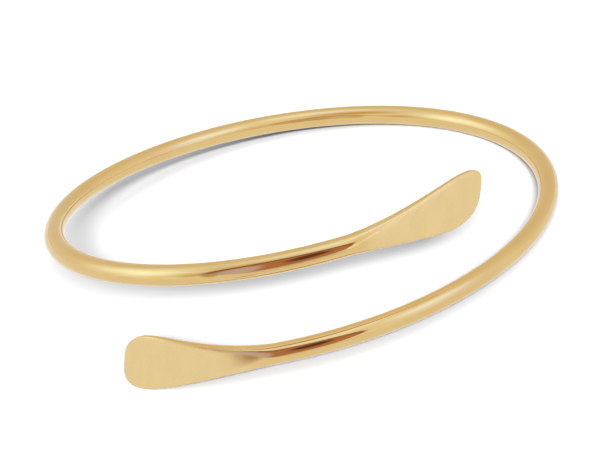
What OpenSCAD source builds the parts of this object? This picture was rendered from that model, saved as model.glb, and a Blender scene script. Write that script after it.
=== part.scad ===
// Spiral bangle: one round gold-coloured wire wound into a coil of a turn and a quarter,
// with both ends hammered flat into paddles that pass each other at the front.
// It lies on a table as it rests by itself. The origin is on the table, under the middle of its box.

/* [Coil] */
// Diameter of the coil, between the middles of the wire
coil_d = 64; // [50:0.5:80]
// Thickness of the round wire
wire_d = 2.6; // [2:0.1:4]
// Height that the wire climbs in one whole turn
rise = 11.8; // [10.5:0.1:16]
// Angle at which the lower end stops, counted anticlockwise from the right-hand side
lower_end_angle = 226.6; // [210:0.1:250]
// Angle at which the upper end stops, more than one turn further on
upper_end_angle = 671.3; // [630:0.1:690]

/* [Hammered ends] */
// Width to which the lower end flares
lower_w = 7.8; // [4:0.1:9]
// Width to which the upper end flares
upper_w = 7.2; // [4:0.1:9]
// Length of wire over which the lower end flares
lower_l = 21; // [12:0.5:30]
// Length of wire over which the upper end flares
upper_l = 18.5; // [12:0.5:30]
// Share of the lower flare that has fully flat faces
lower_flat = 0.6; // [0.2:0.05:0.9]
// Share of the upper flare that has fully flat faces
upper_flat = 0.5; // [0.2:0.05:0.9]
// Squareness of the hammered section: 2 is round, larger has flatter faces and crisper edges
face_squareness = 6; // [2:0.5:8]
// Length of the rounding at each tip
tip_l = 6.3; // [2:0.1:9]
// Squareness of the tips: 2 is elliptical, larger is squarer
tip_squareness = 3; // [2:0.1:5]
// Slant at which the tips are trimmed, in degrees
tip_slant = 12; // [0:1:25]

/* [How it lies] */
// Lean of the coil away from the front
lean_back = 6.9; // [0:0.1:15]
// Lean of the coil to the right
lean_right = 2.9; // [0:0.1:15]

/* [Smoothness] */
// Steps along the plain wire between the hammered ends
wire_steps = 92; // [60:1:110]
// Steps along each hammered end
end_steps = 26; // [16:1:30]
// Corners of the wire's section
section_sides = 32; // [16:4:32]

/* [Hidden] */
coil_r = coil_d / 2;
wire_r = wire_d / 2;
wire_area = PI * wire_r ^ 2;
// Length of wire in one degree of turn, and the slope at which the wire climbs
wire_per_degree = norm([PI * coil_d, rise]) / 360;
climb = atan(rise / (PI * coil_d));
wire_l = (upper_end_angle - lower_end_angle) * wire_per_degree;

// Place of the wire's middle, and the three directions there: out of the coil, along the wire
// and across it. s is the length of wire from the lower tip.
function turned(s) = lower_end_angle + s / wire_per_degree;
function middle(a) = [coil_r * cos(a), coil_r * sin(a), rise * (a - 450) / 360];
function outward(a) = [cos(a), sin(a), 0];
function along(a) = [-sin(a) * cos(climb), cos(a) * cos(climb), sin(climb)];
function across(a) = cross(outward(a), along(a));

// Share of the full flare at a distance from a tip, share to which the faces are flat there,
// and how far the rounding of the tip has opened
function flare(from_tip, flare_l) = from_tip < flare_l ? (1 + cos(180 * from_tip / flare_l)) / 2 : 0;
function flatness(from_tip, flare_l, flat) =
    let (x = min(max((1 - from_tip / flare_l) / (1 - flat), 0), 1)) x * x * (3 - 2 * x);
function opening(from_tip, squareness) = from_tip < tip_l
    ? (1 - (1 - from_tip / tip_l) ^ squareness) ^ (1 / squareness) : 1;

// The section is an ellipse that turns squarer as the faces flatten. Hammering keeps its area,
// so a wider place is thinner. area_factor is the area for a half width and half thickness of 1:
// PI for an ellipse, and nearing 4 as the corners fill.
corner_fill = 1.55;
function area_factor(squareness) = 4 - (4 - PI) * (2 / squareness) ^ corner_fill;
function squared(x, squareness) = sign(x) * abs(x) ^ (2 / squareness);

// Corners of the section at s, as offsets out of the coil and across the wire
function section(s) =
    let (
        from_upper = wire_l - s,
        from_tip = min(s, from_upper),
        full_w = wire_r + (lower_w / 2 - wire_r) * flare(s, lower_l)
            + (upper_w / 2 - wire_r) * flare(from_upper, upper_l),
        squareness = 2 + (face_squareness - 2)
            * (flatness(s, lower_l, lower_flat) + flatness(from_upper, upper_l, upper_flat)),
        half_w = full_w * opening(from_tip, tip_squareness),
        half_t = wire_area / (area_factor(squareness) * full_w) * opening(from_tip, squareness)
    )
    [for (k = [0 : section_sides - 1])
        let (t = 360 * k / section_sides)
        [half_t * squared(cos(t), squareness), half_w * squared(sin(t), squareness)]];

// Ring of points round the wire at s. The slant moves the two edges of a tip opposite ways.
function ring(s) =
    let (
        a = turned(s),
        slant = tan(tip_slant) * (max(1 - s / lower_l, 0) + max(1 - (wire_l - s) / upper_l, 0))
    )
    [for (q = section(s))
        middle(a) + outward(a) * q[0] + (across(a) + along(a) * slant) * q[1]];

// Steps crowd together towards each tip, where the outline turns quickest
tip_gap = 0.05;
crowding = 0.85;
function crowded(k, flare_l) =
    tip_gap + (flare_l - tip_gap) * (1 - cos(90 * k / end_steps)) ^ crowding;
stations = [
    for (k = [0 : end_steps - 1]) crowded(k, lower_l),
    for (k = [0 : wire_steps]) lower_l + (wire_l - lower_l - upper_l) * k / wire_steps,
    for (k = [end_steps - 1 : -1 : 0]) wire_l - crowded(k, upper_l)
];

// The coil leans as it does at rest, then moves until its lowest point is on the table
function leaned(p) =
    let (
        y = p[1] * cos(lean_back) + p[2] * sin(lean_back),
        z = p[2] * cos(lean_back) - p[1] * sin(lean_back)
    )
    [p[0] * cos(lean_right) + z * sin(lean_right), y, z * cos(lean_right) - p[0] * sin(lean_right)];
skin = [for (s = stations) for (p = ring(s)) leaned(p)];
xs = [for (p = skin) p[0]];
ys = [for (p = skin) p[1]];
zs = [for (p = skin) p[2]];
ground = [(min(xs) + max(xs)) / 2, (min(ys) + max(ys)) / 2, min(zs)];

// The wire: rings joined by pairs of triangles, and a flat cap on each tip
module spiral_bangle() {
    n = section_sides;
    last = len(stations) - 1;
    sides = [
        for (i = [0 : last - 1]) for (k = [0 : n - 1])
            let (a = i * n + k, b = i * n + (k + 1) % n)
            for (triangle = [[a, b + n, b], [a, a + n, b + n]]) triangle
    ];
    lower_cap = [for (k = [0 : n - 1]) k];
    upper_cap = [for (k = [n - 1 : -1 : 0]) last * n + k];
    color("goldenrod")
        polyhedron(points = [for (p = skin) p - ground], faces = concat(sides, [lower_cap, upper_cap]));
}

spiral_bangle();
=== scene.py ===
from math import atan, cos, hypot, pi, radians, sin, tan
import bpy
import numpy as np
from mathutils import Matrix, Vector


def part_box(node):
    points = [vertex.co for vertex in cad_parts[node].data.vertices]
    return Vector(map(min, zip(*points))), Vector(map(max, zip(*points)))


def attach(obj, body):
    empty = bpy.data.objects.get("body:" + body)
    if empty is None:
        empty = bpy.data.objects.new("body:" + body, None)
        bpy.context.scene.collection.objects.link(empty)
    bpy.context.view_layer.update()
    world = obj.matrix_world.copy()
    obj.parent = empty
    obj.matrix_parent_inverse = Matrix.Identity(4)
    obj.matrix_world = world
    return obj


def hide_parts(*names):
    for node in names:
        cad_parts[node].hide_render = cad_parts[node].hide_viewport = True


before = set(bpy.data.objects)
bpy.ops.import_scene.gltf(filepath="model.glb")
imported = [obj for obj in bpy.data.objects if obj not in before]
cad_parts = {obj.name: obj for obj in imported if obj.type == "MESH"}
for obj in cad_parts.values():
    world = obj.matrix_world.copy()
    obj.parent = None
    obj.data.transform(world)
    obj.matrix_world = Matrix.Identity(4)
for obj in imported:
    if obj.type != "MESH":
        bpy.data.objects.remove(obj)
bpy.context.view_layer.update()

# The wire. One length of round brass, 2.6 mm thick and about 249 mm long, wound round a
# mandrel into an open coil of a turn and a quarter. Nothing is joined to it: its own spring
# holds the coil. Sizes are in metres, and s is the length of wire from its lower tip.
coil_diameter = 0.064
wire_diameter = 0.0026
climb_per_turn = 0.0118
lower_end_angle = radians(226.6)
upper_end_angle = radians(671.3)
back_of_coil = radians(450)
coil_radius = coil_diameter / 2
wire_radius = wire_diameter / 2
wire_per_radian = hypot(coil_radius, climb_per_turn / (2 * pi))
climb_angle = atan(climb_per_turn / (pi * coil_diameter))
wire_length = (upper_end_angle - lower_end_angle) * wire_per_radian


def wire_middle(s):
    """The middle of the wire at s, and the directions out of the coil, along and across the wire."""
    angle = lower_end_angle + s / wire_per_radian
    x, y, level = np.cos(angle), np.sin(angle), np.zeros_like(angle)
    height = climb_per_turn * (angle - back_of_coil) / (2 * pi)
    middle = np.stack([coil_radius * x, coil_radius * y, height], -1)
    outward = np.stack([x, y, level], -1)
    along = np.stack([-y * cos(climb_angle), x * cos(climb_angle), level + sin(climb_angle)], -1)
    return middle, outward, along, np.cross(outward, along)


# The paddles. Each end of the wire is hammered flat on a block, so it spreads across the wire
# and thins to about 0.7 mm. Its tip is then filed round and a little slanting, and its faces
# are left satin up to the shoulder, where the round wire begins.
lower_paddle_width = 0.0078
upper_paddle_width = 0.0072
lower_flare_length = 0.021
upper_flare_length = 0.0185
lower_flat_share = 0.6
upper_flat_share = 0.5
face_squareness = 6
corner_fill = 1.55
wire_area = pi * wire_radius ** 2
tip_rounding_length = 0.0063
tip_squareness = 3
tip_slant = tan(radians(12))
lower_satin_length = 0.0180
upper_satin_length = 0.0155
satin_fade = 0.0013
filed_edge_start = 0.93
filed_edge_fade = 0.06
quarter_corners = 24
corner_trials = 300
tip_rings = 60
first_tip_ring = 0.02
lower_paddle_rings = 76
upper_paddle_rings = 64
plain_wire_rings = 420


def eased(x):
    """Limits a value to 0 to 1, with a soft start and end."""
    x = np.clip(x, 0, 1)
    return x * x * (3 - 2 * x)


def flare(from_tip, flare_length):
    """Share of the full spread, from 1 at the tip to 0 where the hammering began."""
    return np.where(from_tip < flare_length, (1 + np.cos(pi * from_tip / flare_length)) / 2, 0)


def flatness(from_tip, flare_length, flat_share):
    """Share to which the faces are flat, from 0 on the round wire to 1."""
    return eased((1 - from_tip / flare_length) / (1 - flat_share))


def tip_opening(from_tip, squareness):
    """How far the rounding of the tip has opened, from 0 at the tip to 1."""
    return (1 - np.clip(1 - from_tip / tip_rounding_length, 0, 1) ** squareness) ** (1 / squareness)


def faces_at(s):
    """Share to which the wire's faces are flat at s."""
    return (flatness(s, lower_flare_length, lower_flat_share)
            + flatness(wire_length - s, upper_flare_length, upper_flat_share))


def section_sizes(s):
    """Half the thickness, half the width and the squareness of the section at s."""
    from_upper = wire_length - s
    from_tip = np.minimum(s, from_upper)
    spread = (wire_radius + (lower_paddle_width / 2 - wire_radius) * flare(s, lower_flare_length)
              + (upper_paddle_width / 2 - wire_radius) * flare(from_upper, upper_flare_length))
    squareness = 2 + (face_squareness - 2) * faces_at(s)
    # hammering keeps the area of the section, so a wider place is thinner
    area_factor = 4 - (4 - pi) * (2 / squareness) ** corner_fill
    half_thickness = wire_area / (area_factor * spread) * tip_opening(from_tip, squareness)
    return half_thickness, spread * tip_opening(from_tip, tip_squareness), squareness


def quarter_turns(half_thickness, half_width, squareness):
    """Turns from the middle of a face to the middle of an edge, for each section's corners. Two
    thirds of their spacing follows the way the surface faces, so that the crisp edges get enough
    corners, and one third follows their place across the wire."""
    even = np.linspace(0, 1, corner_trials)[1:-1]
    facing_power = squareness / (2 * squareness - 2)
    by_facing = np.arctan((np.tan(even * pi / 2) * half_width / half_thickness) ** facing_power)
    by_place = np.arcsin(even ** (squareness / 2))
    tried = np.sort(np.concatenate([np.zeros_like(half_thickness), by_facing, by_place], 1), 1)
    facing = np.arctan(np.tan(tried) ** (1 / facing_power) * half_thickness / half_width) / (pi / 2)
    place = np.sin(tried) ** (2 / squareness)
    reached = (2 * facing + place) / 3
    wanted = np.arange(quarter_corners) / quarter_corners
    return np.stack([np.interp(wanted, shares, turns) for shares, turns in zip(reached, tried)])


def straight_wire(s):
    """Corners of the wire's sections before it is coiled: distance out, distance across, and s."""
    half_thickness, half_width, squareness = [size[:, None] for size in section_sizes(s)]
    quarter = quarter_turns(half_thickness, half_width, squareness)
    to_edge = quarter[:, 1:]
    middle_of_edge = np.full_like(half_thickness, pi / 2)
    half = np.concatenate([quarter, middle_of_edge, pi - to_edge[:, ::-1]], 1)
    turn = np.concatenate([half, half + pi], 1)
    out = half_thickness * np.sign(np.cos(turn)) * np.abs(np.cos(turn)) ** (2 / squareness)
    over = half_width * np.sign(np.sin(turn)) * np.abs(np.sin(turn)) ** (2 / squareness)
    return np.stack([out, over, np.broadcast_to(s[:, None], out.shape)], -1)


def satin_share(s):
    """Share to which the hammered faces are satin: all of it near the tips, none at the shoulders."""
    past_satin = np.minimum(s - lower_satin_length, wire_length - s - upper_satin_length)
    return eased((satin_fade - past_satin) / (2 * satin_fade))


def edge_share(straight):
    """Share to which a point is on the filed edge of a paddle, from 0 on its faces to 1."""
    half_width = section_sizes(straight[..., 2])[1]
    towards_edge = np.abs(straight[..., 1]) / half_width
    return eased((towards_edge - filed_edge_start) / filed_edge_fade) * faces_at(straight[..., 2])


def ring_places():
    """Places of the sections: half a millimetre apart on the plain wire, closer on the paddles
    and closest at the tips."""
    crowded = 1 - np.cos(np.linspace(first_tip_ring, 1, tip_rings) * pi / 2)
    tip = crowded * tip_rounding_length
    lower = np.linspace(tip_rounding_length, lower_flare_length, lower_paddle_rings)[1:]
    upper = np.linspace(tip_rounding_length, upper_flare_length, upper_paddle_rings)[1:]
    plain_end = wire_length - upper_flare_length
    plain = np.linspace(lower_flare_length, plain_end, plain_wire_rings)[1:-1]
    return np.concatenate([tip, lower, plain, wire_length - upper[::-1], wire_length - tip[::-1]])


def coiled(straight):
    """Winds the straight wire into the coil."""
    s = straight[..., 2]
    middle, outward, along, across = wire_middle(s)
    slant = tip_slant * (np.clip(1 - s / lower_flare_length, 0, 1)
                         + np.clip(1 - (wire_length - s) / upper_flare_length, 0, 1))
    out, over = straight[..., :1], straight[..., 1:2]
    return middle + outward * out + (across + along * slant[..., None]) * over


# How it lies. Put down on a table, the coil comes to rest on its lower paddle and on the back
# of the turn, and so it leans a little away from the front and to the right.
lean_back = radians(6.9)
lean_right = radians(2.9)
lie = Matrix.Rotation(lean_right, 3, "Y") @ Matrix.Rotation(-lean_back, 3, "X")

straight = straight_wire(ring_places())
points = coiled(straight) @ np.array(lie).T
low, high = points.min((0, 1)), points.max((0, 1))
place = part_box("spiral_bangle")
points += (np.array(place[0]) + np.array(place[1])) / 2 - (low + high) / 2

rings, corners = points.shape[:2]
faces = []
for i in range(rings - 1):
    for k in range(corners):
        here, beside = i * corners + k, i * corners + (k + 1) % corners
        faces.append((here, beside, beside + corners, here + corners))
faces.append(tuple(range(corners))[::-1])
faces.append(tuple((rings - 1) * corners + k for k in range(corners)))
mesh = bpy.data.meshes.new("hammered_spiral")
mesh.from_pydata(points.reshape(-1, 3).tolist(), [], faces)
mesh.validate()
mesh.update()
mesh.shade_smooth()
unbent = mesh.attributes.new("straight_wire", "FLOAT_VECTOR", "POINT")
unbent.data.foreach_set("vector", straight.reshape(-1).astype(np.float32))
for name, share in (("satin", satin_share(straight[..., 2])), ("filed_edge", edge_share(straight))):
    shares = mesh.attributes.new(name, "FLOAT", "POINT")
    shares.data.foreach_set("value", share.reshape(-1).astype(np.float32))
bangle = bpy.data.objects.new("hammered_spiral", mesh)
bpy.context.scene.collection.objects.link(bangle)


# The plating. The brass is polished and plated with pale yellow gold. The round wire keeps a bright
# polish with faint drawing lines along it. The hammered faces are satin, with a fine grain across
# them, and their filed edges are burnished bright again.
wire_gold = (0.745, 0.525, 0.212, 1)
cloudy_wire_gold = (0.770, 0.558, 0.240, 1)
satin_gold = (0.795, 0.600, 0.282, 1)
pale_satin_gold = (0.822, 0.630, 0.308, 1)
bloom_gold = (0.805, 0.606, 0.276, 1)
bloom_cover = 0.35
drawing_line_depth = 0.0000008
satin_grain_depth = 0.0000004
noise_low = 0.2
noise_high = 0.8
gold = bpy.data.materials.new("pale_gold_plating")
gold.use_nodes = True
nodes, links = gold.node_tree.nodes, gold.node_tree.links
shader = nodes["Principled BSDF"]
shader.inputs["Metallic"].default_value = 1


def plug(value, socket):
    """Gives a socket its value: another node's output, or a constant."""
    if isinstance(value, bpy.types.NodeSocket):
        links.new(value, socket)
    else:
        socket.default_value = value


def mesh_share(name):
    """A named attribute of the bangle's mesh, as a node."""
    node = nodes.new("ShaderNodeAttribute")
    node.attribute_name = name
    return node


def grain(out, across, along, detail):
    """Noise on the straight wire, with marks of these sizes out of it, across it and along it."""
    stretch = nodes.new("ShaderNodeVectorMath")
    stretch.operation = "MULTIPLY"
    stretch.inputs[1].default_value = (1 / out, 1 / across, 1 / along)
    links.new(straight_place.outputs["Vector"], stretch.inputs[0])
    noise = nodes.new("ShaderNodeTexNoise")
    noise.inputs["Scale"].default_value = 1
    noise.inputs["Detail"].default_value = detail
    links.new(stretch.outputs["Vector"], noise.inputs["Vector"])
    return noise.outputs["Fac"]


def spread(noise, low, high):
    """Turns a noise into a value from low to high."""
    node = nodes.new("ShaderNodeMapRange")
    node.interpolation_type = "SMOOTHSTEP"
    node.inputs["From Min"].default_value = noise_low
    node.inputs["From Max"].default_value = noise_high
    node.inputs["To Min"].default_value = low
    node.inputs["To Max"].default_value = high
    links.new(noise, node.inputs["Value"])
    return node.outputs["Result"]


def calculated(operation, first, second):
    """A sum, difference, product or maximum of two values, each a socket or a number."""
    node = nodes.new("ShaderNodeMath")
    node.operation = operation
    plug(first, node.inputs[0])
    plug(second, node.inputs[1])
    return node.outputs["Value"]


def mixed(kind, share, first, second):
    """Mixes two values (FLOAT) or colours (RGBA), each a socket or a constant."""
    node = nodes.new("ShaderNodeMix")
    node.data_type = kind
    links.new(share, node.inputs["Factor"])
    socket_type = "VALUE" if kind == "FLOAT" else kind
    ends = [i for i in node.inputs if i.type == socket_type and i.name != "Factor"]
    plug(first, ends[0])
    plug(second, ends[1])
    return [o for o in node.outputs if o.type == socket_type][0]


straight_place = mesh_share("straight_wire")
filed = mesh_share("filed_edge").outputs["Fac"]
satin = calculated("MULTIPLY", mesh_share("satin").outputs["Fac"], calculated("SUBTRACT", 1, filed))
drawing_lines = grain(out=0.00016, across=0.00016, along=0.007, detail=1)
polish_cloud = grain(out=0.004, across=0.004, along=0.006, detail=2)
satin_grain = grain(out=0.0012, across=0.0026, along=0.0011, detail=0)
hammer_bloom = grain(out=0.0030, across=0.0030, along=0.0026, detail=1)

wire_tone = mixed("RGBA", spread(polish_cloud, low=0, high=1), wire_gold, cloudy_wire_gold)
face_tone = mixed("RGBA", spread(satin_grain, low=0, high=1), satin_gold, pale_satin_gold)
face_tone = mixed("RGBA", spread(hammer_bloom, low=0, high=bloom_cover), face_tone, bloom_gold)
links.new(mixed("RGBA", satin, wire_tone, face_tone), shader.inputs["Base Color"])
wire_roughness = calculated("ADD", spread(drawing_lines, low=0.055, high=0.085),
                            spread(polish_cloud, low=0, high=0.02))
face_roughness = calculated("ADD", spread(satin_grain, low=0.25, high=0.31),
                            spread(hammer_bloom, low=-0.02, high=0.03))
links.new(mixed("FLOAT", satin, wire_roughness, face_roughness), shader.inputs["Roughness"])
wire_relief = spread(drawing_lines, low=0, high=drawing_line_depth)
face_relief = spread(satin_grain, low=0, high=satin_grain_depth)
relief = nodes.new("ShaderNodeBump")
relief.inputs["Distance"].default_value = 1
links.new(mixed("FLOAT", satin, wire_relief, face_relief), relief.inputs["Height"])
links.new(relief.outputs["Normal"], shader.inputs["Normal"])
mesh.materials.append(gold)
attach(bangle, "root")
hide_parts("spiral_bangle")


# The table: a wide flat sheet of matt grey card. The strong shadow lamps light it until it
# shows as plain white, and it goes far past the picture on all sides.
table_grey = (0.1475, 0.1475, 0.1475, 1)
reach = 1.5
table = bpy.data.meshes.new("table")
table.from_pydata([(-reach, -reach, 0), (reach, -reach, 0), (reach, reach, 0), (-reach, reach, 0)],
                  [], [(0, 1, 2, 3)])
table_top = bpy.data.objects.new("table", table)
bpy.context.scene.collection.objects.link(table_top)
card = bpy.data.materials.new("matt_card")
card.use_nodes = True
card_shader = card.node_tree.nodes["Principled BSDF"]
card_shader.inputs["Base Color"].default_value = table_grey
card_shader.inputs["Roughness"].default_value = 0.9
card_shader.inputs["Specular IOR Level"].default_value = 0.1
table.materials.append(card)


# The light tent: white cloth all round. Lamps outside it make pale glows at the left, at the right
# and overhead, and the cloth behind the bangle and at the front on the left gets less light.
def toward(azimuth, elevation):
    """Direction from the bangle, with azimuth 0 to the back and 90 to the right, in degrees."""
    azimuth, elevation = radians(azimuth), radians(elevation)
    return sin(azimuth) * cos(elevation), cos(azimuth) * cos(elevation), sin(elevation)


white_cloth = (1, 1, 1)
glows = [
    # direction, half size along x, y and z, light added
    (toward(-92, 49), (1.04, 0.87, 0.95), (0.353, 0.689, 1.158)),  # lamp at the left
    (toward(115, 43), (0.38, 0.64, 1.80), (0.174, 0.410, 1.133)),  # lamp at the right
    (toward(178, 85), (0.55, 0.70, 0.80), (0.216, 0.442, 0.991)),  # lamp overhead
    (toward(9, 19), (1.80, 1.80, 1.55), (-0.160, -0.225, -0.318)),  # dimmer cloth at the back
    (toward(231, 64), (0.70, 1.05, 0.61), (-0.401, -0.743, -1.209)),  # dim, high at the front left
    (toward(232, 24), (0.18, 0.58, 1.13), (-0.219, -0.339, -0.516)),  # dim, lower down there
    (toward(113, 8), (0.68, 0.83, 0.68), (-0.048, -0.024, 0.319)),  # cooler cloth low at the right
    (toward(260, 16), (0.51, 0.25, 0.72), (0.055, 0.093, 0.264)),  # faint lamp low at the left
]
tent = bpy.data.worlds.new("light_tent")
tent.use_nodes = True
bpy.context.scene.world = tent
nodes, links = tent.node_tree.nodes, tent.node_tree.links


def vector_step(operation, first, second=None):
    """One vector sum, product, limit or length in the nodes of the moment."""
    node = nodes.new("ShaderNodeVectorMath")
    node.operation = operation
    plug(first, node.inputs[0])
    if second is not None:
        plug(second, node.inputs[1])
    return node.outputs["Value" if operation == "LENGTH" else "Vector"]


def fade_out(distance, start, end, curve="SMOOTHSTEP"):
    """From 1 where the distance is under start to 0 where it is over end."""
    node = nodes.new("ShaderNodeMapRange")
    node.interpolation_type = curve
    node.inputs["From Min"].default_value = start
    node.inputs["From Max"].default_value = end
    node.inputs["To Min"].default_value = 1
    node.inputs["To Max"].default_value = 0
    links.new(distance, node.inputs["Value"])
    return node.outputs["Result"]


def from_middle(place, centre, half_sizes):
    """Distance from an ellipse's centre, as a share of its size."""
    off_centre = vector_step("SUBTRACT", place, centre)
    return vector_step("LENGTH", vector_step("DIVIDE", off_centre, half_sizes))


def soft_ellipse(place, centre, half_sizes, start, end, curve="SMOOTHSTEP"):
    """From 1 inside an ellipse to 0 outside it. Its edge starts and ends at these shares of its size."""
    return fade_out(from_middle(place, centre, half_sizes), start, end, curve)


direction = nodes.new("ShaderNodeTexCoord").outputs["Generated"]
light = white_cloth
for centre, half_sizes, added in glows:
    strength = nodes.new("ShaderNodeVectorMath")
    strength.operation = "SCALE"
    strength.inputs[0].default_value = added
    glow_share = soft_ellipse(direction, centre, half_sizes, start=0, end=1, curve="SMOOTHERSTEP")
    links.new(glow_share, strength.inputs["Scale"])
    light = vector_step("ADD", light, strength.outputs["Vector"])
links.new(vector_step("MAXIMUM", light, (0, 0, 0)), nodes["Background"].inputs["Color"])


# The lens opening: a gap in the front of the tent, which only the polished gold mirrors. The dark
# room shows through it below a darker hem, with the lens in its middle, and a pale strip of cloth
# and a brown board stand at its left.
opening_middle = (0.001, -0.086, 0.040)
opening_half_width = 0.094
opening_half_height = 0.068
hem_brown = (0.24, 0.11, 0.09, 1)
gap_parts = [
    # centre, half sizes, the shares of them where its edge starts and ends, colour
    ((-0.001, -0.009, 0), (0.050, 0.045, 1), 0.84, 1.0, (0.55, 0.26, 0.17, 1)),  # room below the hem
    ((0.0015, 0.0047, 0), (0.017, 0.024, 1), 0.5, 1.1, (0.14, 0.055, 0.05, 1)),  # lens
    ((-0.034, -0.016, 0), (0.0135, 0.034, 1), 0.6, 1.1, (0.64, 0.60, 0.92, 1)),  # pale strip
    ((-0.0462, -0.022, 0), (0.0062, 0.024, 1), 0.3, 1.0, (0.60, 0.42, 0.30, 1)),  # brown board
]
# the same for the outline of the whole gap
gap_outline = ((-0.001, 0, 0), (0.051, 0.046, 1), 0.92, 1.08)
board_cover = 0.9


def stood_at(middle, azimuth, elevation):
    """Place of a card or lamp that stands here and is turned to face this direction."""
    turned = Vector(toward(azimuth, elevation)).to_track_quat("Z", "Y").to_matrix().to_4x4()
    return Matrix.Translation(middle) @ turned


def mirrored_card(name, place, half_width, half_height):
    """A card that only reflections see. Returns its own material's nodes and links, and the place
    on the card as a socket."""
    corners = [(x * half_width, y * half_height, 0) for x, y in ((-1, -1), (1, -1), (1, 1), (-1, 1))]
    card_mesh = bpy.data.meshes.new(name)
    card_mesh.from_pydata(corners, [], [(0, 1, 2, 3)])
    card = bpy.data.objects.new(name, card_mesh)
    bpy.context.scene.collection.objects.link(card)
    card.matrix_world = place
    card.visible_camera = False
    card.visible_diffuse = False
    card.visible_shadow = False
    tone = bpy.data.materials.new(name)
    tone.use_nodes = True
    card_mesh.materials.append(tone)
    place_on_card = tone.node_tree.nodes.new("ShaderNodeTexCoord").outputs["Object"]
    return tone.node_tree.nodes, tone.node_tree.links, place_on_card


def glow_through(colour, share):
    """Finishes a card's material: this colour where share is 1, and clear where it is 0."""
    nodes.remove(nodes["Principled BSDF"])
    shine = nodes.new("ShaderNodeEmission")
    plug(colour, shine.inputs["Color"])
    blend = nodes.new("ShaderNodeMixShader")
    links.new(share, blend.inputs["Fac"])
    links.new(nodes.new("ShaderNodeBsdfTransparent").outputs[0], blend.inputs[1])
    links.new(shine.outputs[0], blend.inputs[2])
    links.new(blend.outputs[0], nodes["Material Output"].inputs["Surface"])


opening_place = stood_at(opening_middle, azimuth=211, elevation=16)
nodes, links, place_on_gap = mirrored_card("lens_opening", opening_place,
                                           opening_half_width, opening_half_height)
gap_tone = hem_brown
for *outline, colour in gap_parts:
    part_share = soft_ellipse(place_on_gap, *outline)
    gap_tone = mixed("RGBA", part_share, gap_tone, colour)
gap_share = soft_ellipse(place_on_gap, *gap_outline)
# the last part, the board, stands out past the outline of the gap
board_share = calculated("MULTIPLY", part_share, board_cover)
glow_through(gap_tone, calculated("MAXIMUM", gap_share, board_share))


# The painted reflection strip: a thin glowing strip across the middle of the coil, which only
# reflections
# see. It is no lamp: it paints a softer, warm reflection of the opening on the back of the wire.
strip_glow_half_width = 0.027
strip_glow_half_height = 0.016
strip_glow_cover = 0.65
# cream glow that paints the softer reflection on the back of the wire
strip_glow_cream = (0.90, 0.76, 0.62, 1)
strip_glow_place = stood_at((0.002, -0.004, 0.016), azimuth=180, elevation=0)
nodes, links, place_on_strip_glow = mirrored_card("painted_reflection_strip", strip_glow_place,
                                             strip_glow_half_width, strip_glow_half_height)
strip_glow_share = soft_ellipse(place_on_strip_glow, (0, 0, 0), (strip_glow_half_width, strip_glow_half_height, 1),
                           start=0.5, end=1)
glow_through(strip_glow_cream, calculated("MULTIPLY", strip_glow_share, strip_glow_cover))


# The painted reflection spot: a small glowing card close before the lower shoulder, which only
# reflections see. It is no lamp: the satin there mirrors it as a painted soft brown reflection spot.
spot_glow_half_width = 0.0032
spot_glow_half_height = 0.0027
# brown glow that paints the reflection spot on the satin shoulder
spot_glow_brown = (0.52, 0.39, 0.29, 1)
spot_glow_place = stood_at((-0.0105, -0.0374, 0.0041), azimuth=34, elevation=0)
nodes, links, place_on_spot_glow = mirrored_card("painted_reflection_spot", spot_glow_place, spot_glow_half_width, spot_glow_half_height)
spot_glow_share = soft_ellipse(place_on_spot_glow, (0, 0, 0), (spot_glow_half_width, spot_glow_half_height, 1),
                          start=0.3, end=1)
glow_through(spot_glow_brown, spot_glow_share)


# The table in the gold: a sheet of even pale light close over the table, which only reflections
# see. The gold mirrors it in place of the grey card and the shadows on it.
sheet_height = 0.0002
sheet_half = 0.6
sheet_fade_start = 0.1
sheet_fade_end = 0.5
pale_table = (0.956, 0.953, 0.983, 1)
sheet_place = Matrix.Translation((0, 0, sheet_height))
nodes, links, place_on_sheet = mirrored_card("table_in_the_gold", sheet_place, sheet_half, sheet_half)
from_centre = vector_step("LENGTH", place_on_sheet)
glow_through(pale_table, fade_out(from_centre, sheet_fade_start, sheet_fade_end))


# The table's front edge: dimmer light on the table between the bangle and the lens opening, on
# a card over the sheet of pale light. Only reflections see it.
edge_middle = (-0.006, -0.101, 0.0004)
edge_half_width = 0.046
edge_half_height = 0.065
edge_glow_sizes = (0.037, 0.052, 1)
dim_table = (0.67, 0.62, 0.69, 1)
nodes, links, place_on_edge = mirrored_card("table_front_edge", Matrix.Translation(edge_middle),
                                            edge_half_width, edge_half_height)
glow_through(dim_table, soft_ellipse(place_on_edge, (0, 0, 0), edge_glow_sizes, start=0.27, end=1.23))


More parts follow.
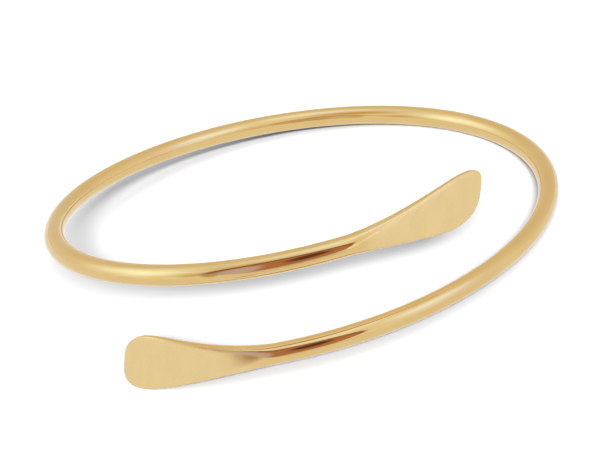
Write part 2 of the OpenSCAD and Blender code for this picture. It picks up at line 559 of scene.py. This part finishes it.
# The shadow lamps: a long low lamp just above the lens and a wide one higher up, each behind thin
# white cloth. The gold doesn't mirror them. They light the table alone, and draw the bangle's soft
# shadow close below each strand.
lamp_distance = 2.4
lamp_azimuth = 179
lamp_white = (1, 0.992, 0.978)
shadow_lamps = [
    # name, elevation, width, height, power
    ("front_lamp", 33.3, 0.8, 0.2, 450),
    ("wide_lamp", 48, 1.6, 1.3, 238),
]
for lamp_name, elevation, width, height, power in shadow_lamps:
    lamp = bpy.data.objects.new(lamp_name, bpy.data.lights.new(lamp_name, "AREA"))
    lamp.data.shape = "ELLIPSE"
    lamp.data.size = width
    lamp.data.size_y = height
    lamp.data.energy = power
    lamp.data.color = lamp_white
    lamp_middle = Vector(toward(lamp_azimuth, elevation)) * lamp_distance
    lamp.matrix_world = stood_at(lamp_middle, lamp_azimuth, elevation)
    lamp.visible_glossy = False
    bpy.context.scene.collection.objects.link(lamp)


# The camera stands in front and looks down at the front of the coil. The photograph's picture is
# stretched a little along its rising diagonal, so the camera hangs in a rig that is stretched alike.
aim = Vector((-0.000555, -0.00172, 0.00306))
camera_distance = 0.29327
camera_azimuth = radians(-1.657)
camera_elevation = radians(29.716)
camera_roll = radians(-9.24)
picture_stretch = 0.0807
rising_diagonal = pi / 4
forward = Vector((sin(camera_azimuth) * cos(camera_elevation),
                  cos(camera_azimuth) * cos(camera_elevation),
                  -sin(camera_elevation)))
level = Vector((cos(camera_azimuth), -sin(camera_azimuth), 0))
upright = level.cross(forward)
right = level * cos(camera_roll) + upright * sin(camera_roll)
up = upright * cos(camera_roll) - level * sin(camera_roll)
stand_turn = Matrix((right, up, -forward)).transposed().to_4x4()
stand = Matrix.Translation(aim - forward * camera_distance) @ stand_turn
rig = bpy.data.objects.new("camera_rig", None)
rig.matrix_world = (stand @ Matrix.Rotation(rising_diagonal, 4, "Z")
                    @ Matrix.Diagonal((1 - picture_stretch, 1 + picture_stretch, 1, 1)))
camera = bpy.data.objects.new("camera", bpy.data.cameras.new("camera"))
camera.parent = rig
camera.matrix_local = Matrix.Rotation(-rising_diagonal, 4, "Z")
camera.data.sensor_width = 36
camera.data.lens = 133.137
camera.data.clip_start = 0.01
camera.data.clip_end = 10
for thing in (rig, camera):
    bpy.context.scene.collection.objects.link(thing)
bpy.context.scene.camera = camera
bpy.context.scene.view_settings.view_transform = "Standard"
